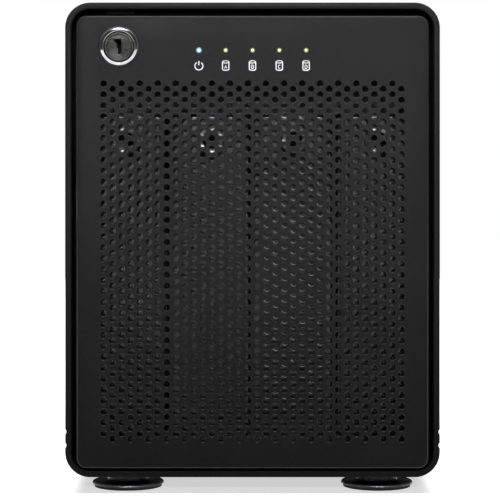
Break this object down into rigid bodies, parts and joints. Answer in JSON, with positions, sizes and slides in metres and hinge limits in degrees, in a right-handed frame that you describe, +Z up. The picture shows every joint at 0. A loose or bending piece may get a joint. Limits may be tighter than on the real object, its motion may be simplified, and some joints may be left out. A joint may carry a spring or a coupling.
{
  "type": "nas enclosure",
  "caption": "Upright desktop drive enclosure with a perforated lockable door, drive trays, fan, power supply and ports.",
  "frame": {"origin": "on the floor, under the middle of the case", "axes": "+Z up, the door faces -Y, +X to the right seen from the front"},
  "size_m": [0.135, 0.245, 0.177],
  "materials": {
    "shell_paint": "fine black powder coat",
    "door_paint": "fine black powder coat",
    "tray_paint": "black powder coat",
    "carrier_paint": "black paint",
    "rear_paint": "black powder coat",
    "black_plastic": "moulded black",
    "zinc_steel": "zinc-plated sheet",
    "rail_plastic": "moulded white",
    "circuit_board": "green solder mask",
    "connector_plastic": "moulded black",
    "connector_shell": "tinned sheet",
    "bare_aluminium": "extruded",
    "lead_jacket": "smooth",
    "bright_nickel": "plated",
    "gloss_black": "polished moulding",
    "fan_plastic": "moulded black",
    "black_screw": "black oxide",
    "clear_plastic": "clear acrylic",
    "foot_metal": "black anodised",
    "foot_rubber": "moulded",
    "lamp_lens": "lit lens",
    "lock_chrome": "plated",
    "drive_casting": "cast",
    "drive_lid": "pressed lid"
  },
  "bodies": {
    "case": {"case_shell": "shell_paint", "front_frame": "black_plastic", "rear_panel": "rear_paint", "cage_walls": "zinc_steel", "cage_top_plate": "zinc_steel", "cage_bottom_plate": "zinc_steel", "bay_guide_rails": "rail_plastic", "backplane_board": "circuit_board", "backplane_connectors": "connector_plastic", "main_board": "circuit_board", "board_heat_sink": "bare_aluminium", "ethernet_ports": "connector_shell", "usb_port": "connector_shell", "power_supply_case": "zinc_steel", "power_lead": "lead_jacket", "power_inlet": "connector_plastic", "inlet_blades": "bright_nickel", "fan_frame": "fan_plastic", "fan_lead": "lead_jacket", "fan_screws": "black_screw", "rear_panel_screws": "black_screw", "led_board": "circuit_board", "light_pipes": "clear_plastic", "foot_bases": "foot_metal", "foot_pads": "foot_rubber", "foot_screws": "zinc_steel"},
    "door": {"door_panel": "door_paint", "door_frame": "black_plastic", "door_lenses": "lamp_lens", "lock_barrel": "lock_chrome", "lock_nut": "zinc_steel"},
    "lock": {"lock_plug": "lock_chrome", "lock_cam": "zinc_steel"},
    "fan": {"fan_rotor": "fan_plastic"},
    "rocker": {"power_rocker": "gloss_black"},
    "button": {"reset_button": "gloss_black"},
    "tray_1": {"tray_front_1": "tray_paint", "tray_carrier_1": "carrier_paint", "drive_base_1": "drive_casting", "drive_cover_1": "drive_lid", "drive_board_1": "circuit_board"},
    "thumb_1": {"thumb_screw_1": "bright_nickel"},
    "tray_2": {"tray_front_2": "tray_paint", "tray_carrier_2": "carrier_paint", "drive_base_2": "drive_casting", "drive_cover_2": "drive_lid", "drive_board_2": "circuit_board"},
    "thumb_2": {"thumb_screw_2": "bright_nickel"},
    "tray_3": {"tray_front_3": "tray_paint", "tray_carrier_3": "carrier_paint", "drive_base_3": "drive_casting", "drive_cover_3": "drive_lid", "drive_board_3": "circuit_board"},
    "thumb_3": {"thumb_screw_3": "bright_nickel"},
    "tray_4": {"tray_front_4": "tray_paint", "tray_carrier_4": "carrier_paint", "drive_base_4": "drive_casting", "drive_cover_4": "drive_lid", "drive_board_4": "circuit_board"},
    "thumb_4": {"thumb_screw_4": "bright_nickel"}
  },
  "joints": [
    {"name": "door_pull", "type": "slide", "parent": "case", "child": "door", "axis": [0, -1, 0], "range_m": [0, 0.24]},
    {"name": "lock_turn", "type": "hinge", "parent": "door", "child": "lock", "pos_m": [-0.0481, -0.116, 0.1611], "axis": [0, -1, 0], "range_deg": [0, 90]},
    {"name": "fan_spin", "type": "hinge", "parent": "case", "child": "fan", "pos_m": [0, 0.1, 0.082], "axis": [0, 1, 0], "continuous": true},
    {"name": "power_rock", "type": "hinge", "parent": "case", "child": "rocker", "pos_m": [-0.008, 0.1163, 0.156], "axis": [1, 0, 0], "range_deg": [0, 18]},
    {"name": "reset_press", "type": "slide", "parent": "case", "child": "button", "axis": [0, -1, 0], "range_m": [0, 0.001], "stiffness_N_per_m": 200, "springref_m": -0.001},
    {"name": "tray_slide_1", "type": "slide", "parent": "case", "child": "tray_1", "axis": [0, -1, 0], "range_m": [0, 0.156]},
    {"name": "thumb_turn_1", "type": "hinge", "parent": "tray_1", "child": "thumb_1", "pos_m": [-0.04575, -0.11, 0.1276], "axis": [0, -1, 0], "continuous": true},
    {"name": "tray_slide_2", "type": "slide", "parent": "case", "child": "tray_2", "axis": [0, -1, 0], "range_m": [0, 0.156]},
    {"name": "thumb_turn_2", "type": "hinge", "parent": "tray_2", "child": "thumb_2", "pos_m": [-0.01525, -0.11, 0.1276], "axis": [0, -1, 0], "continuous": true},
    {"name": "tray_slide_3", "type": "slide", "parent": "case", "child": "tray_3", "axis": [0, -1, 0], "range_m": [0, 0.156]},
    {"name": "thumb_turn_3", "type": "hinge", "parent": "tray_3", "child": "thumb_3", "pos_m": [0.01525, -0.11, 0.1276], "axis": [0, -1, 0], "continuous": true},
    {"name": "tray_slide_4", "type": "slide", "parent": "case", "child": "tray_4", "axis": [0, -1, 0], "range_m": [0, 0.156]},
    {"name": "thumb_turn_4", "type": "hinge", "parent": "tray_4", "child": "thumb_4", "pos_m": [0.04575, -0.11, 0.1276], "axis": [0, -1, 0], "continuous": true}
  ],
  "couplings": [
    {"joint": "tray_slide_1", "follows": "door_pull", "ratio": 0.65},
    {"joint": "tray_slide_2", "follows": "door_pull", "ratio": 0.65},
    {"joint": "tray_slide_3", "follows": "door_pull", "ratio": 0.65},
    {"joint": "tray_slide_4", "follows": "door_pull", "ratio": 0.65}
  ]
}
